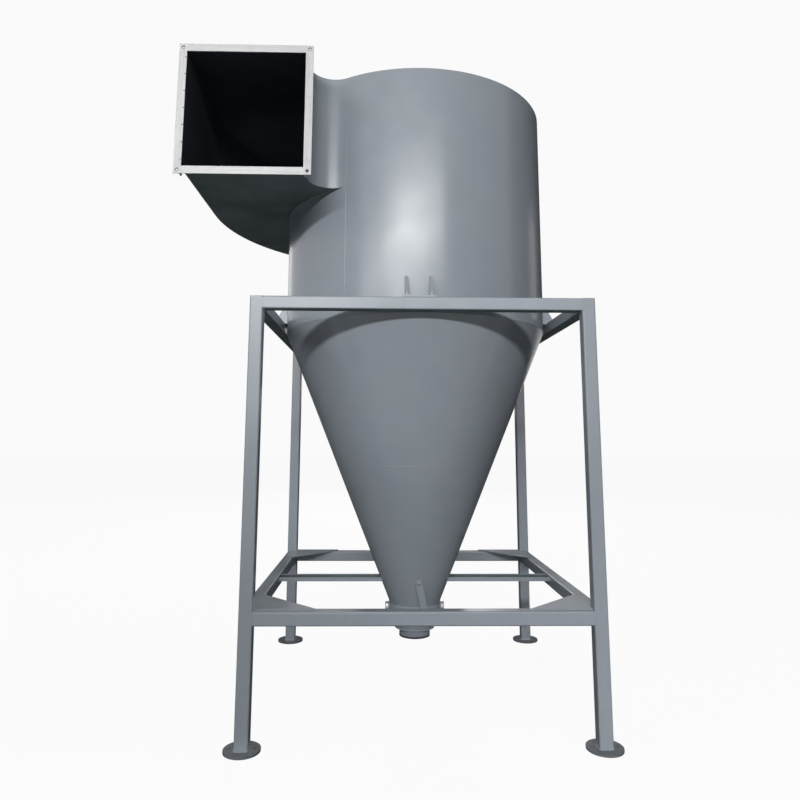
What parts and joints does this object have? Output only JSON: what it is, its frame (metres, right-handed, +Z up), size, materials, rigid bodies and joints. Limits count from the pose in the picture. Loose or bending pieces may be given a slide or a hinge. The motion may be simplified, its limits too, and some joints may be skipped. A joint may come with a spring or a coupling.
{
  "type": "cyclone separator",
  "caption": "Sheet steel dust cyclone with a scroll inlet, a long cone and a clamped discharge, hung by lugs in a welded square tube stand.",
  "frame": {"origin": "on the ground, under the cyclone's axis and in the middle of the stand", "axes": "+Z up along the cyclone's axis, the inlet's mouth faces -Y and lies at -X"},
  "size_m": [1.65, 1.4348, 2.668],
  "materials": {
    "grey_paint": "satin blue-grey paint over welded sheet and tube",
    "flange_zinc": "zinc coated steel angle, dull"
  },
  "bodies": {
    "root": {"barrel_front_left": "grey_paint", "barrel_front_right": "grey_paint", "barrel_rear_left": "grey_paint", "barrel_rear_right": "grey_paint", "clamp_band_front": "grey_paint", "clamp_band_rear": "grey_paint", "collar_strap": "grey_paint", "cone_lower_front": "grey_paint", "cone_lower_rear": "grey_paint", "cone_upper_front": "grey_paint", "cone_upper_rear": "grey_paint", "corner_plates": "grey_paint", "discharge_spigot": "grey_paint", "foot_plate_front_left": "grey_paint", "foot_plate_front_right": "grey_paint", "foot_plate_rear_left": "grey_paint", "foot_plate_rear_right": "grey_paint", "inlet_flange_bottom": "flange_zinc", "inlet_flange_left": "flange_zinc", "inlet_flange_right": "flange_zinc", "inlet_flange_top": "flange_zinc", "inlet_neck_wall": "grey_paint", "leg_front_left": "grey_paint", "leg_front_right": "grey_paint", "leg_rear_left": "grey_paint", "leg_rear_right": "grey_paint", "outlet_tube": "grey_paint", "roof_plate": "grey_paint", "scroll_floor": "grey_paint", "scroll_rear_wall": "grey_paint", "scroll_side_wall": "grey_paint", "stay_left": "grey_paint", "stay_right": "grey_paint", "support_lug_front": "grey_paint", "support_lug_left": "grey_paint", "support_lug_rear": "grey_paint", "support_lug_right": "grey_paint", "tie_beam_front": "grey_paint", "tie_beam_left": "grey_paint", "tie_beam_rear": "grey_paint", "tie_beam_right": "grey_paint", "top_beam_front": "grey_paint", "top_beam_left": "grey_paint", "top_beam_rear": "grey_paint", "top_beam_right": "grey_paint"}
  },
  "joints": []
}
